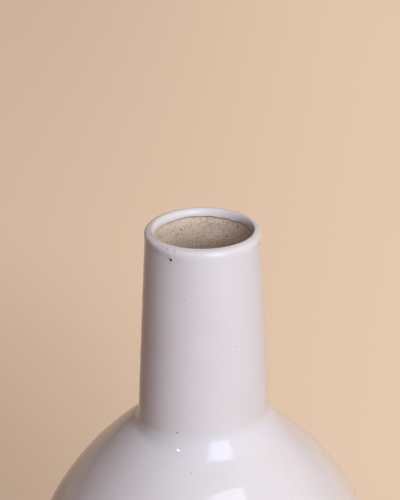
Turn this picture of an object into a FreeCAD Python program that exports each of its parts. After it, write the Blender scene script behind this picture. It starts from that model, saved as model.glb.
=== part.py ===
import FreeCAD, Part
import math
import os

# A hand-thrown stoneware bottle vase under a glossy white glaze. All lengths are in millimetres.
# The vase stands on z = 0 with its axis on +Z. Every piece is turned from a section drawn in the
# half plane of radius and height.

# Outside of the glazed vase
height = 230.0
mouth_diameter = 38.1
lip_thickness = 3.5
neck_length = 81.6
neck_foot_diameter = 52.7
belly_diameter = 149.5
belly_height = 62.0

# How round the shoulder is: 1 would make one arc of it and the belly's upper half, less flattens it
shoulder_roundness_share = 0.912

# Lip: its rounded edges, how far it stands proud of the neck, and the hollow curve under it
lip_inner_round = 0.9
lip_outer_round = 1.5
lip_roll = 0.25
lip_waist_radius = 25.0
lip_land = 6.0

# How far the neck's side swells past a straight line
neck_bow = 0.1

# Clay walls
neck_wall = 4.2
belly_wall = 4.6
floor_thickness = 6.5
floor_corner_radius = 14.0
underside_diameter = 90.0

# Finger grooves left inside by throwing
groove_pitch = 12.0
groove_depth = 0.35

# Seam between neck and belly: a bevelled seat, a layer of slip, and a coil worked into the corner
seat_drop = 0.8
slip_thickness = 0.6
coil_depth = 2.8
coil_radius = 4.6

# Foot ring, wider at its top, stuck under the belly with slip
foot_diameter = 82.0
foot_width = 6.0
foot_height = 6.0
foot_draft = 1.0
foot_edge_round = 1.2

# Glaze coat: its thickness, its curve in the crease, and where it ends inside and outside
glaze_thickness = 0.5
crease_radius = 4.8
glaze_dip = 3.4
glaze_foot_line = 9.5

# Radii and heights that follow from the sizes above
mouth_radius = mouth_diameter / 2
lip_radius = mouth_radius + lip_thickness
neck_foot_radius = neck_foot_diameter / 2
belly_radius = belly_diameter / 2
underside_radius = underside_diameter / 2
foot_radius = foot_diameter / 2
seam_height = height - neck_length
clay_mouth_radius = mouth_radius + glaze_thickness
neck_bore_radius = neck_foot_radius - glaze_thickness - neck_wall
floor_height = foot_height + floor_thickness
cavity_depth = glaze_thickness + belly_wall

UP = 1
DOWN = -1


def at(radius, level):
    """A point of the section's half plane."""
    return FreeCAD.Vector(radius, 0, level)


def unit(vector):
    """The vector's direction with length 1."""
    return vector * (1 / vector.Length)


def quarter_turn(vector):
    """The vector turned a quarter turn counter-clockwise, as seen with the axis on the left."""
    return FreeCAD.Vector(-vector.z, 0, vector.x)


def meet(centre_a, radius_a, centre_b, radius_b, side):
    """Where two circles cross: above (UP) or below (DOWN) the line from centre a to centre b."""
    apart = centre_b - centre_a
    distance = apart.Length
    along = (radius_a ** 2 - radius_b ** 2 + distance ** 2) / (2 * distance)
    across = math.sqrt(radius_a ** 2 - along ** 2)
    heading = unit(apart)
    return centre_a + heading * along + quarter_turn(heading) * across * side


def centre_behind(point, inward, other):
    """The centre, straight inward of a point, of the circle through it and another point."""
    chord = other - point
    return point + inward * (chord.dot(chord) / (2 * inward.dot(chord)))


def rim_point(centre, radius, towards):
    """The point of a circle that lies in the direction of another point."""
    return centre + unit(towards - centre) * radius


def line(start, end):
    """A straight edge."""
    return Part.LineSegment(start, end).toShape()


def arc(centre, start, end):
    """The shorter arc about a centre from one point to another."""
    middle = rim_point(centre, (start - centre).Length, (start + end) * (1 / 2))
    return Part.Arc(start, middle, end).toShape()


def turned(edges):
    """The solid that a closed section sweeps in a full turn about the vase's axis."""
    section = Part.Face(Part.Wire(edges))
    return section.revolve(at(0, 0), FreeCAD.Vector(0, 0, 1), 360)


def finger_grooves(edge):
    """The edge redrawn as shallow grooves pressed outwards into the wall, about a pitch apart."""
    count = max(1, round(edge.Length / groove_pitch))
    points = edge.discretize(2 * count + 1)
    grooves = []
    for start, middle, end in zip(points[0::2], points[1::2], points[2::2]):
        outwards = quarter_turn(unit(end - start))
        grooves.append(Part.Arc(start, middle + outwards * groove_depth, end).toShape())
    return grooves


# Circles that the outside is drawn on, each a centre and a radius at the glaze's face
mouth_centre = at(mouth_radius + lip_inner_round, height - lip_inner_round)
lip_centre = at(lip_radius - lip_outer_round, height - lip_outer_round)

neck_top = at(lip_radius - lip_roll, lip_centre.z)
neck_foot = at(neck_foot_radius, seam_height)
neck_chord = neck_foot - neck_top
neck_circle_radius = (neck_chord.Length ** 2 / 4 + neck_bow ** 2) / (2 * neck_bow)
neck_inward = quarter_turn(unit(neck_chord)) * -1
neck_centre = (neck_top + neck_foot) * (1 / 2) + neck_inward * (neck_circle_radius - neck_bow)

waist_centre = meet(neck_centre, neck_circle_radius + lip_waist_radius,
                    lip_centre, lip_outer_round + lip_waist_radius, DOWN)

# The shoulder and the belly's upper half are two arcs that touch. One leaves the widest circle
# upright, the other meets the seam at the shoulder's slope, taken from the upright. The points that
# lie `reach` along the headings from both ends are on the tangent that the arcs share, and the arcs
# touch midway between them
equator = at(belly_radius, belly_height)
span = neck_foot - equator
shoulder_slope = 2 * math.atan2(-span.x, span.z) * shoulder_roundness_share
shoulder_heading = at(-math.sin(shoulder_slope), math.cos(shoulder_slope))
equator_heading = at(0, 1)
forward = span.dot(shoulder_heading + equator_heading)
opening = 2 - 2 * shoulder_heading.dot(equator_heading)
reach = span.dot(span) / (forward + math.sqrt(forward ** 2 + opening * span.dot(span)))
shoulder_join = (equator + equator_heading * reach + neck_foot - shoulder_heading * reach) * (1 / 2)
shoulder_centre = centre_behind(neck_foot, quarter_turn(shoulder_heading), shoulder_join)
shoulder_radius = (neck_foot - shoulder_centre).Length
belly_centre = centre_behind(equator, at(-1, 0), shoulder_join)
belly_circle_radius = belly_radius - belly_centre.x

# The belly's lower half is one arc from the widest circle to the edge of the flat underside
underside_edge = at(underside_radius, foot_height)
clay_equator = at(belly_radius - glaze_thickness, belly_height)
low_centre = centre_behind(clay_equator, at(-1, 0), underside_edge)
low_radius = belly_radius - low_centre.x


def body_arcs(depth, start, end):
    """The shoulder, belly and lower arcs at a depth under the glaze's face, between two points."""
    join = rim_point(belly_centre, belly_circle_radius - depth, shoulder_join)
    widest = at(belly_radius - depth, belly_height)
    return [
        arc(shoulder_centre, start, join),
        arc(belly_centre, join, widest),
        arc(low_centre, widest, end),
    ]


class Skin:
    """The outer surface at a depth under the glaze's face, as edges from the mouth downwards.

    The arcs keep their centres at every depth. Only the crease has a radius of its own.
    """

    def __init__(self, depth, crease):
        self.depth = depth
        self.mouth = at(mouth_radius + depth, mouth_centre.z)
        inner_crest = at(mouth_centre.x, height - depth)
        outer_crest = at(lip_centre.x, height - depth)
        waist_top = rim_point(lip_centre, lip_outer_round - depth, waist_centre)
        waist_foot = rim_point(neck_centre, neck_circle_radius - depth, waist_centre)

        crease_centre = meet(neck_centre, neck_circle_radius - depth + crease,
                             shoulder_centre, shoulder_radius - depth + crease, UP)
        self.crease_top = rim_point(neck_centre, neck_circle_radius - depth, crease_centre)
        self.crease_foot = rim_point(shoulder_centre, shoulder_radius - depth, crease_centre)

        self.lip = [
            arc(mouth_centre, self.mouth, inner_crest),
            line(inner_crest, outer_crest),
            arc(lip_centre, outer_crest, waist_top),
            arc(waist_centre, waist_top, waist_foot),
            arc(neck_centre, waist_foot, self.crease_top),
        ]
        self.crease = arc(crease_centre, self.crease_top, self.crease_foot)

    def body(self, end):
        """The arcs below the crease, down to a point on the last one."""
        return body_arcs(self.depth, self.crease_foot, end)


face = Skin(0, crease_radius)
clay = Skin(glaze_thickness, coil_radius)

# The seam, from the bottom of the coil's groove inwards to the bore, on either side of the slip
seat_outer = at(neck_foot_radius - coil_depth, seam_height - slip_thickness / 2)
seat_inner = at(neck_bore_radius, seat_outer.z - seat_drop)
slip_step = at(0, slip_thickness)


def neck():
    """The thrown neck: rounded lip, bevelled lower end, finger grooves inside."""
    land_foot = at(clay_mouth_radius, height - lip_land)
    bore = finger_grooves(line(land_foot, seat_inner + slip_step))
    return turned(
        clay.lip
        + [line(clay.crease_top, seat_outer + slip_step),
           line(seat_outer + slip_step, seat_inner + slip_step)]
        + bore[::-1]
        + [line(land_foot, clay.mouth)])


def neck_slip():
    """The slip between the two bevelled seats, squeezed out into a small bead in the bore."""
    bead_centre = seat_inner + slip_step * (1 / 2)
    bead_tip = bead_centre - at(slip_thickness / 2, 0)
    return turned([
        line(seat_inner, seat_outer),
        line(seat_outer, seat_outer + slip_step),
        line(seat_outer + slip_step, seat_inner + slip_step),
        Part.Arc(seat_inner + slip_step, bead_tip, seat_inner).toShape()])


def neck_coil():
    """The coil of clay worked into the groove round the seam, hollow on its outside."""
    return turned([
        clay.crease,
        line(clay.crease_foot, seat_outer),
        line(seat_outer, seat_outer + slip_step),
        line(seat_outer + slip_step, clay.crease_top)])


def belly():
    """The thrown body: collar opening, shoulder, belly wall with finger grooves, and floor."""
    inner_shoulder_radius = shoulder_radius - cavity_depth
    collar_reach = neck_bore_radius - shoulder_centre.x
    collar_foot = at(neck_bore_radius,
                     shoulder_centre.z + math.sqrt(inner_shoulder_radius ** 2 - collar_reach ** 2))

    corner_height = floor_height + floor_corner_radius
    inner_low_radius = low_radius - cavity_depth
    corner_swing = inner_low_radius - floor_corner_radius
    corner_centre = at(low_centre.x + math.sqrt(
        corner_swing ** 2 - (corner_height - belly_height) ** 2), corner_height)
    corner_top = low_centre + unit(corner_centre - low_centre) * inner_low_radius
    corner_foot = at(corner_centre.x, floor_height)

    cavity = []
    for edge in body_arcs(cavity_depth, collar_foot, corner_top):
        cavity += finger_grooves(edge)
    cavity.append(arc(corner_centre, corner_top, corner_foot))
    cavity.append(line(corner_foot, at(0, floor_height)))
    return turned(
        clay.body(underside_edge)
        + [line(underside_edge, at(0, foot_height)),
           line(at(0, foot_height), at(0, floor_height))]
        + cavity[::-1]
        + [line(collar_foot, seat_inner),
           line(seat_inner, seat_outer),
           line(seat_outer, clay.crease_foot)])


def foot_ring():
    """The turned ring that the vase stands on, with rounded edges at the table."""
    top = foot_height - slip_thickness
    corners = [
        at(foot_radius, 0),
        at(foot_radius + foot_draft, top),
        at(foot_radius - foot_width - foot_draft, top),
        at(foot_radius - foot_width, 0),
    ]
    ring = turned([line(start, end) for start, end in zip(corners, corners[1:] + corners[:1])])
    table_edges = [edge for edge in ring.Edges if edge.BoundBox.ZMax < foot_edge_round]
    return ring.makeFillet(foot_edge_round, table_edges)


def foot_slip():
    """The slip on top of the foot ring, wiped into a small hollow fillet on both sides."""
    top = foot_height
    bottom = top - slip_thickness
    outer = foot_radius + foot_draft
    inner = foot_radius - foot_width - foot_draft
    return turned([
        line(at(inner - slip_thickness, top), at(outer + slip_thickness, top)),
        arc(at(outer + slip_thickness, bottom), at(outer + slip_thickness, top), at(outer, bottom)),
        line(at(outer, bottom), at(inner, bottom)),
        arc(at(inner - slip_thickness, bottom), at(inner, bottom), at(inner - slip_thickness, top))])


def glaze():
    """The glaze coat from its edge inside the mouth, over the lip, down to its edge above the foot."""
    dip_height = height - glaze_dip
    inner_edge = at(mouth_radius, dip_height)
    inner_bead_centre = at(clay_mouth_radius, dip_height)
    inner_end = at(clay_mouth_radius, dip_height - glaze_thickness)

    clay_low_radius = low_radius - glaze_thickness
    drop = glaze_foot_line - belly_height
    bead_centre = at(low_centre.x + math.sqrt(clay_low_radius ** 2 - drop ** 2), glaze_foot_line)
    outer_edge = rim_point(low_centre, low_radius, bead_centre)
    outer_end = meet(low_centre, clay_low_radius, bead_centre, glaze_thickness, DOWN)

    outside = face.lip + [face.crease] + face.body(outer_edge)
    inside = clay.lip + [clay.crease] + clay.body(outer_end)
    return turned(
        [line(inner_edge, face.mouth)]
        + outside
        + [arc(bead_centre, outer_edge, outer_end)]
        + inside[::-1]
        + [line(clay.mouth, inner_end),
           arc(inner_bead_centre, inner_end, inner_edge)])


pieces = [belly, neck, neck_slip, neck_coil, foot_ring, foot_slip, glaze]

os.makedirs("parts", exist_ok=True)
for piece in pieces:
    solid = piece()
    solid.exportStep("parts/" + piece.__name__ + ".step")
    print(piece.__name__, "valid", solid.isValid(), "solids", len(solid.Solids),
          "volume", round(solid.Volume), "mm3")
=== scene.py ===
import math

import bpy
import numpy as np
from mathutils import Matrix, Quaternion, Vector

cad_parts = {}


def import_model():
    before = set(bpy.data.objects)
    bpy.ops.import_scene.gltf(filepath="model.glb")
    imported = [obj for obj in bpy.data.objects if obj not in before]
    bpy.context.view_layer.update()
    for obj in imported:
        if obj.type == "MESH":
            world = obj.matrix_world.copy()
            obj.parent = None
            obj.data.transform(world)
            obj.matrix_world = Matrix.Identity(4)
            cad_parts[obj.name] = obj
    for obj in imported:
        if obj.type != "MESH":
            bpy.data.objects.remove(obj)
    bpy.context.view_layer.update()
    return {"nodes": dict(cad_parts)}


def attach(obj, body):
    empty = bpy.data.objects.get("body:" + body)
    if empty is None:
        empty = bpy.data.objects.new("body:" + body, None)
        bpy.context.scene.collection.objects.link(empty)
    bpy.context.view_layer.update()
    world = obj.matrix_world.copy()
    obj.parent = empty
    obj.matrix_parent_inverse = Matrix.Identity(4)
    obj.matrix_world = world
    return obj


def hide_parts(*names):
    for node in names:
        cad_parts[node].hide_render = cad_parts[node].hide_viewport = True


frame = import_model()

# The vase's sizes, as in the CAD source. All lengths are in metres
MM = 0.001
HEIGHT = 230.0 * MM
MOUTH_RADIUS = 19.05 * MM
LIP_THICKNESS = 3.5 * MM
NECK_LENGTH = 81.6 * MM
NECK_FOOT_RADIUS = 26.35 * MM
BELLY_RADIUS = 74.75 * MM
BELLY_HEIGHT = 62.0 * MM
SHOULDER_ROUNDNESS_SHARE = 0.912
LIP_OUTER_ROUND = 1.5 * MM
LIP_ROLL = 0.25 * MM
LIP_WAIST_RADIUS = 25.0 * MM
LIP_LAND = 6.0 * MM
NECK_BOW = 0.1 * MM
NECK_WALL = 4.2 * MM
BELLY_WALL = 4.6 * MM
FLOOR_THICKNESS = 6.5 * MM
FLOOR_CORNER_RADIUS = 14.0 * MM
UNDERSIDE_RADIUS = 45.0 * MM
GROOVE_PITCH = 12.0 * MM
GROOVE_DEPTH = 0.35 * MM
SEAT_DROP = 0.8 * MM
SLIP_THICKNESS = 0.6 * MM
COIL_DEPTH = 2.8 * MM
COIL_RADIUS = 4.6 * MM
FOOT_RADIUS = 41.0 * MM
FOOT_WIDTH = 6.0 * MM
FOOT_HEIGHT = 6.0 * MM
FOOT_DRAFT = 1.0 * MM
FOOT_EDGE_ROUND = 1.2 * MM
GLAZE_THICKNESS = 0.5 * MM
GLAZE_FOOT_LINE = 9.5 * MM

SEAM_HEIGHT = HEIGHT - NECK_LENGTH
LIP_RADIUS = MOUTH_RADIUS + LIP_THICKNESS
CLAY_MOUTH_RADIUS = MOUTH_RADIUS + GLAZE_THICKNESS
NECK_BORE_RADIUS = NECK_FOOT_RADIUS - GLAZE_THICKNESS - NECK_WALL
FLOOR_LEVEL = FOOT_HEIGHT + FLOOR_THICKNESS
CAVITY_DEPTH = GLAZE_THICKNESS + BELLY_WALL

UP = 1
DOWN = -1

# How finely the surfaces are turned: steps round the axis, row spacings, and rows of short stretches
SEGMENTS = 360
BEAD_ROW = 0.075 * MM
LAND_ROW = 0.15 * MM
EDGE_ROW = 0.3 * MM
TOOL_ROW = 0.35 * MM
CREASE_ROW = 0.5 * MM
ROW = 1.0 * MM
HIDDEN_ROW = 4.0 * MM
SEAM_STEPS = 2
SHORT_STEPS = 3
HIDDEN_CREASE_STEPS = 4

azimuths = np.linspace(0, 2 * math.pi, SEGMENTS, endpoint=False)

# The lip was shaped with a finger: its ridge wanders from the inner edge in front and on the right
# to the outer edge at the back left. Azimuth 0 is +X, the right, and 90 is +Y, the back.
# Each of these goes round as (mean, swing, azimuth of the highest value)
RIDGE_SHARE = (0.32, 0.26, 125)
INNER_DOWN = (1.30 * MM, 0.85 * MM, 105)
OUTER_DOWN = (1.75 * MM, 0.6 * MM, 300)
RIDGE_SLOPE = 0.08
LIP_HANDLE_SHARE = 0.55
OUTER_HANDLE_SHARE = 0.72
LIP_STEPS = 14

# In front, at this (azimuth, strength, half width), the lip's outside slopes longer and runs into
# the neck without a roll
LIP_FRONT = [(285, 1.0, 45)]
FRONT_DOWN = 2.5 * MM
FRONT_HANDLE_SHARE = 0.9
WAIST_LEAST = 3.0 * MM

# The mouth lies a little off the axis
MOUTH_SHIFT = 0.6 * MM
MOUTH_SHIFT_AZIMUTH = 38
MOUTH_SHIFT_DEPTH = 30.0 * MM


# Section geometry, in the half plane of radius and height


def at(radius, level):
    """A point of the section."""
    return np.array([radius, level], float)


def length(vector):
    return math.hypot(*vector)


def unit(vector):
    """The vector's direction with length 1."""
    return vector / length(vector)


def quarter_turn(vector):
    """The vector turned a quarter turn counter-clockwise, as seen with the axis on the left."""
    return at(-vector[1], vector[0])


def meet(centre_a, radius_a, centre_b, radius_b, side):
    """Where two circles cross: above (UP) or below (DOWN) the line from centre a to centre b."""
    apart = centre_b - centre_a
    distance = length(apart)
    along = (radius_a ** 2 - radius_b ** 2 + distance ** 2) / (2 * distance)
    across = math.sqrt(radius_a ** 2 - along ** 2)
    heading = unit(apart)
    return centre_a + heading * along + quarter_turn(heading) * across * side


def centre_behind(point, inward, other):
    """The centre, straight inward of a point, of the circle through it and another point."""
    chord = other - point
    return point + inward * (chord.dot(chord) / (2 * inward.dot(chord)))


def rim_point(centre, radius, towards):
    """The point of a circle that lies in the direction of another point."""
    return centre + unit(towards - centre) * radius


def rim_at(centre, radius, level):
    """The outer point of a circle at a level."""
    return at(centre[0] + math.sqrt(radius ** 2 - (level - centre[1]) ** 2), level)


def line(start, end, steps):
    """Points of a straight edge, without its end."""
    share = np.arange(steps)[:, None] / steps
    return start + (end - start) * share


def arc(centre, start, end, steps):
    """Points of the shorter arc about a centre, without its end."""
    first = math.atan2(start[1] - centre[1], start[0] - centre[0])
    last = math.atan2(end[1] - centre[1], end[0] - centre[0])
    swing = math.remainder(last - first, 2 * math.pi)
    angles = first + swing * np.arange(steps) / steps
    radius = length(start - centre)
    return centre + radius * np.stack([np.cos(angles), np.sin(angles)], 1)


def bezier(start, handle_a, handle_b, end, steps):
    """Points of a cubic curve, without its end."""
    t = np.arange(steps)[:, None] / steps
    s = 1 - t
    return s ** 3 * start + 3 * s ** 2 * t * handle_a + 3 * s * t ** 2 * handle_b + t ** 3 * end


def steps_for(span, row):
    """How many rows a stretch takes at a row spacing."""
    return max(2, math.ceil(span / row))


def between(ends, share):
    """The value at a share of the way from the first end to the second."""
    return ends[0] + (ends[1] - ends[0]) * share


def smooth_step(values):
    """0 up to 0, 1 from 1 on, and a smooth rise between."""
    inside = np.clip(values, 0, 1)
    return inside * inside * (3 - 2 * inside)


# Circles that the outside is drawn on, each a centre and a radius at the glaze's face
lip_centre = at(LIP_RADIUS - LIP_OUTER_ROUND, HEIGHT - LIP_OUTER_ROUND)

neck_top = at(LIP_RADIUS - LIP_ROLL, lip_centre[1])
neck_foot = at(NECK_FOOT_RADIUS, SEAM_HEIGHT)
neck_chord = neck_foot - neck_top
neck_arc_radius = (length(neck_chord) ** 2 / 4 + NECK_BOW ** 2) / (2 * NECK_BOW)
neck_inward = -quarter_turn(unit(neck_chord))
neck_centre = (neck_top + neck_foot) / 2 + neck_inward * (neck_arc_radius - NECK_BOW)

waist_centre = meet(neck_centre, neck_arc_radius + LIP_WAIST_RADIUS,
                    lip_centre, LIP_OUTER_ROUND + LIP_WAIST_RADIUS, DOWN)

# The shoulder's arc starts at the neck's foot and meets the belly's arc without a kink
equator = at(BELLY_RADIUS, BELLY_HEIGHT)
span = neck_foot - equator
shoulder_slope = 2 * math.atan2(-span[0], span[1]) * SHOULDER_ROUNDNESS_SHARE
shoulder_heading = at(-math.sin(shoulder_slope), math.cos(shoulder_slope))
equator_heading = at(0, 1)
forward = span.dot(shoulder_heading + equator_heading)
opening = 2 - 2 * shoulder_heading.dot(equator_heading)
reach = span.dot(span) / (forward + math.sqrt(forward ** 2 + opening * span.dot(span)))
shoulder_join = (equator + equator_heading * reach + neck_foot - shoulder_heading * reach) / 2
shoulder_centre = centre_behind(neck_foot, quarter_turn(shoulder_heading), shoulder_join)
shoulder_radius = length(neck_foot - shoulder_centre)
belly_centre = centre_behind(equator, at(-1, 0), shoulder_join)
belly_arc_radius = BELLY_RADIUS - belly_centre[0]

underside_edge = at(UNDERSIDE_RADIUS, FOOT_HEIGHT)
clay_equator = at(BELLY_RADIUS - GLAZE_THICKNESS, BELLY_HEIGHT)
low_centre = centre_behind(clay_equator, at(-1, 0), underside_edge)
low_radius = BELLY_RADIUS - low_centre[0]

seat_outer = at(NECK_FOOT_RADIUS - COIL_DEPTH, SEAM_HEIGHT - SLIP_THICKNESS / 2)
seat_inner = at(NECK_BORE_RADIUS, seat_outer[1] - SEAT_DROP)
slip_step = at(0, SLIP_THICKNESS)


def body_edges(depth, start, end, row):
    """The shoulder, belly and lower arcs at a depth under the glaze's face, between two points."""
    join = rim_point(belly_centre, belly_arc_radius - depth, shoulder_join)
    widest = at(BELLY_RADIUS - depth, BELLY_HEIGHT)
    stretch = length(neck_foot - shoulder_join)
    return [
        arc(shoulder_centre, start, join, steps_for(stretch, row)),
        arc(belly_centre, join, widest, steps_for(length(widest - join), row)),
        arc(low_centre, widest, end, steps_for(BELLY_HEIGHT, row)),
    ]


def going_round(angle, law):
    """A value that swings once round the axis."""
    mean, swing, degrees = law
    return mean + swing * math.cos(angle - math.radians(degrees))


def lip_edges(depth, angle, neck_end, row):
    """The lip and the neck's side at a depth under the glaze's face, down to a point on the neck."""
    inner_down = going_round(angle, INNER_DOWN)
    front = drips(angle, LIP_FRONT)
    outer_down = going_round(angle, OUTER_DOWN) + FRONT_DOWN * front
    ridge_across = (LIP_THICKNESS - 2 * depth) * going_round(angle, RIDGE_SHARE)
    mouth = at(MOUTH_RADIUS + depth, HEIGHT - inner_down)
    ridge = at(mouth[0] + ridge_across, HEIGHT - depth)
    bulge = at(LIP_RADIUS - depth, HEIGHT - outer_down)
    roll_foot = rim_point(neck_centre, neck_arc_radius - depth, waist_centre)
    waist_level = min(roll_foot[1], bulge[1] - WAIST_LEAST)
    waist_foot = rim_at(neck_centre, neck_arc_radius - depth, waist_level)
    waist_drop = bulge[1] - waist_level
    upwards = at(0, LIP_HANDLE_SHARE)
    bulge_share = between((LIP_HANDLE_SHARE, FRONT_HANDLE_SHARE), front)
    before_ridge = at(-1, -RIDGE_SLOPE) * ridge_across * LIP_HANDLE_SHARE
    after_ridge = at(1, -RIDGE_SLOPE) * (bulge[0] - ridge[0]) * OUTER_HANDLE_SHARE
    neck_upwards = quarter_turn(unit(waist_foot - neck_centre)) * LIP_HANDLE_SHARE
    return [
        bezier(mouth, mouth + upwards * (inner_down - depth), ridge + before_ridge, ridge, LIP_STEPS),
        bezier(ridge, ridge + after_ridge, bulge + at(0, bulge_share) * (outer_down - depth), bulge,
               LIP_STEPS * 2),
        bezier(bulge, bulge - upwards * waist_drop, waist_foot + neck_upwards * waist_drop,
               waist_foot, LIP_STEPS),
        arc(neck_centre, waist_foot, neck_end, steps_for(NECK_LENGTH, row)),
    ]


# The coil's hollow face under the glaze, and its ends on neck and shoulder
clay_neck_radius = neck_arc_radius - GLAZE_THICKNESS
clay_shoulder_radius = shoulder_radius - GLAZE_THICKNESS
coil_centre = meet(neck_centre, clay_neck_radius + COIL_RADIUS,
                   shoulder_centre, clay_shoulder_radius + COIL_RADIUS, UP)
coil_top = rim_point(neck_centre, clay_neck_radius, coil_centre)
coil_foot = rim_point(shoulder_centre, clay_shoulder_radius, coil_centre)

# Turned meshes


def link(name, data):
    """A new object of some data, in the scene."""
    made = bpy.data.objects.new(name, data)
    bpy.context.scene.collection.objects.link(made)
    return made


def new_object(name, vertices, faces):
    """A smooth mesh object that rides on the vase."""
    mesh = bpy.data.meshes.new(name)
    mesh.from_pydata(vertices.tolist(), [], faces)
    mesh.update()
    mesh.shade_smooth()
    thing = link(name, mesh)
    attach(thing, "root")
    return thing


def lathe(name, sections):
    """A closed mesh turned from outlines that run from the outside over the top to the inside.

    sections is (azimuths, rows, 2). An outline that starts and ends on the axis is closed by two
    poles, and any other one by joining its last row to its first. Also returns which of the
    outlines' points the mesh has.
    """
    poled = sections[0, 0, 0] == 0
    index = np.arange(sections[:, :, 0].size).reshape(SEGMENTS, -1)
    if poled:
        index[:, 0] = index[0, 0]
        index[:, -1] = index[0, -1]
    following = np.roll(index, -1, axis=0)
    quads = np.stack([index, following, np.roll(following, -1, axis=1), np.roll(index, -1, axis=1)], 2)
    if poled:
        quads = quads[:, 1:-2]
    faces = quads.reshape(-1, 4).tolist()
    if poled:
        faces += np.stack([following[:, 1], index[:, 1], index[:, 0]], 1).tolist()
        faces += np.stack([index[:, -2], following[:, -2], index[:, -1]], 1).tolist()
    used = np.unique(index)
    numbers = dict(zip(used.tolist(), range(len(used))))
    faces = [[numbers[corner] for corner in face] for face in faces]
    radii, levels = np.moveaxis(sections, 2, 0)
    angles = azimuths[:, None]
    points = np.stack([radii * np.cos(angles), radii * np.sin(angles), levels], 2)
    return new_object(name, points.reshape(-1, 3)[used], faces), used


def paint(thing, used, name, values):
    """Stores one number per vertex, for the materials, from numbers at all the outlines' points."""
    layer = thing.data.attributes.new(name, "FLOAT", "POINT")
    layer.data.foreach_set("value", np.ascontiguousarray(values.reshape(-1)[used], np.float32))


def leftwards(ahead):
    """The unit normals to the left of directions, with (radius, level) as the last axis."""
    across, along = np.moveaxis(ahead, -1, 0)
    return np.stack([-along, across], -1) / np.hypot(across, along)[..., None]


def outward(sections):
    """The unit normals of closed outlines."""
    return leftwards(np.roll(sections, -1, axis=1) - np.roll(sections, 1, axis=1))


def bump_sum(angles, waves):
    """A sum of waves round the axis, each (how many, amplitude, phase in turns)."""
    return sum(amplitude * np.cos(count * angles + 2 * math.pi * phase)
               for count, amplitude, phase in waves)


def way_round(angles, degrees):
    """How far round from an azimuth in degrees, in radians, less than half a turn either way."""
    return (angles - math.radians(degrees) + math.pi) % (2 * math.pi) - math.pi


def drips(angles, places):
    """Rounded bumps at chosen azimuths, each (degrees, height, half width in degrees)."""
    return sum(height * np.exp(-(way_round(angles, degrees) / math.radians(half_width)) ** 2)
               for degrees, height, half_width in places)


def near(radii, levels, radius, level, width):
    """1 at a point of the section, falling off smoothly around it."""
    return np.exp(-(((radii - radius) ** 2 + (levels - level) ** 2) / width ** 2))


# Glaze: how its edges wave, how it fills the crease, and how the throwing left it uneven

# Depth of the inner edge below the crest, and its drips
INNER_EDGE_DEPTH = 2.65 * MM
INNER_EDGE_WAVES = [(5, 0.10 * MM, 0.1), (9, 0.06 * MM, 0.6), (14, 0.05 * MM, 0.35)]
INNER_EDGE_DRIPS = [
    (4, 0.55 * MM, 30), (19, 0.30 * MM, 6), (54, 0.50 * MM, 5), (73, 0.30 * MM, 5),
    (38, 0.10 * MM, 7), (128, 0.15 * MM, 9), (197, 0.35 * MM, 8), (238, 0.50 * MM, 11),
    (283, 0.30 * MM, 7), (322, 0.55 * MM, 10),
]
FOOT_LINE_WAVES = [(3, 0.30 * MM, 0.2), (7, 0.22 * MM, 0.75), (13, 0.10 * MM, 0.4)]
FOOT_LINE_DRIPS = [
    (24, 0.9 * MM, 5), (97, 0.7 * MM, 6), (151, 1.0 * MM, 4), (214, 0.6 * MM, 7), (301, 0.8 * MM, 5),
]

# The crease is wide in front and tight elsewhere. Each as (tight, wide): how far it reaches from the
# seam up the neck and down the shoulder, and how long its handles are as shares of that
CREASE_UP = (2.1 * MM, 6.2 * MM)
CREASE_DOWN = (2.3 * MM, 6.6 * MM)
CREASE_UP_SHARES = (0.64, 0.64)
CREASE_DOWN_SHARES = (0.64, 0.43)
CREASE_WIDE_AZIMUTH = 312
CREASE_WIDE_HALF_WIDTH = 100
CREASE_WIDE_POWER = 4

# On the right the neck flares more widely still into the shoulder, as a share of the wide crease
CREASE_FLARES = [(14, 0.85, 24)]

# On the right, towards the back, the shoulder sank a little
SAG = 1.1 * MM
SAG_AZIMUTH = 45
SAG_SPREAD = 50
SAG_FROM_SEAM = 15.0 * MM
SAG_WIDTH = 12.0 * MM

# Unevenness of the thrown surface, each wave as (count round, amplitude, waves over the height, phase)
WOBBLES = [
    (2, 0.07 * MM, 1.3, 0.10),
    (3, 0.05 * MM, -2.1, 0.55),
    (5, 0.02 * MM, 4.3, 0.25),
    (1, 0.018 * MM, 19.0, 0.80),
    (4, 0.009 * MM, -11.0, 0.15),
]
EQUATOR_INSET = 0.15 * MM
EQUATOR_BAND = 30.0 * MM
UPPER_LEAN = 0.28 * MM
CREST_DEPTH = 5.0 * MM
CREST_DIPS = [(170, 0.30 * MM, 45), (255, 0.10 * MM, 30), (345, 0.15 * MM, 35)]
CREST_WAVES = [(3, 0.02 * MM, 0.65), (7, 0.015 * MM, 0.1)]

# Where the glaze breaks over the ridge and shows the clay's colour, and where rust marks lie on
# the lip's outside, each place as (degrees, strength, half width in degrees)
BREAK_INSET = 0.10 * MM
BREAK_WIDTH = 0.38 * MM
BREAK_PLACES = [(262, 1.0, 75), (190, 0.9, 45)]
RUST_INSET = 0.65 * MM
RUST_DEPTH = 0.75 * MM
RUST_WIDTH = 0.55 * MM
RUST_PLACES = [(228, 1.0, 26), (20, 0.2, 30)]
POOL_WIDTH = 6.0 * MM


def crest_share(levels):
    """0 below the crest, rising to 1 at its highest place."""
    return smooth_step((levels - (HEIGHT - CREST_DEPTH)) / CREST_DEPTH)


def wobble(angles, levels):
    """How far the surface stands out of or below true, at azimuths and levels."""
    waves = sum(amplitude * np.cos(count * angles + 2 * math.pi * (turns * levels / HEIGHT + phase))
                for count, amplitude, turns, phase in WOBBLES)
    inset = EQUATOR_INSET * np.exp(-((levels - BELLY_HEIGHT) / EQUATOR_BAND) ** 2)
    rise = np.clip((levels - BELLY_HEIGHT) / (SEAM_HEIGHT - BELLY_HEIGHT), 0, 1)
    lean = UPPER_LEAN * np.sin(math.pi * rise) * np.cos(angles)
    return waves - inset + lean


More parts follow.
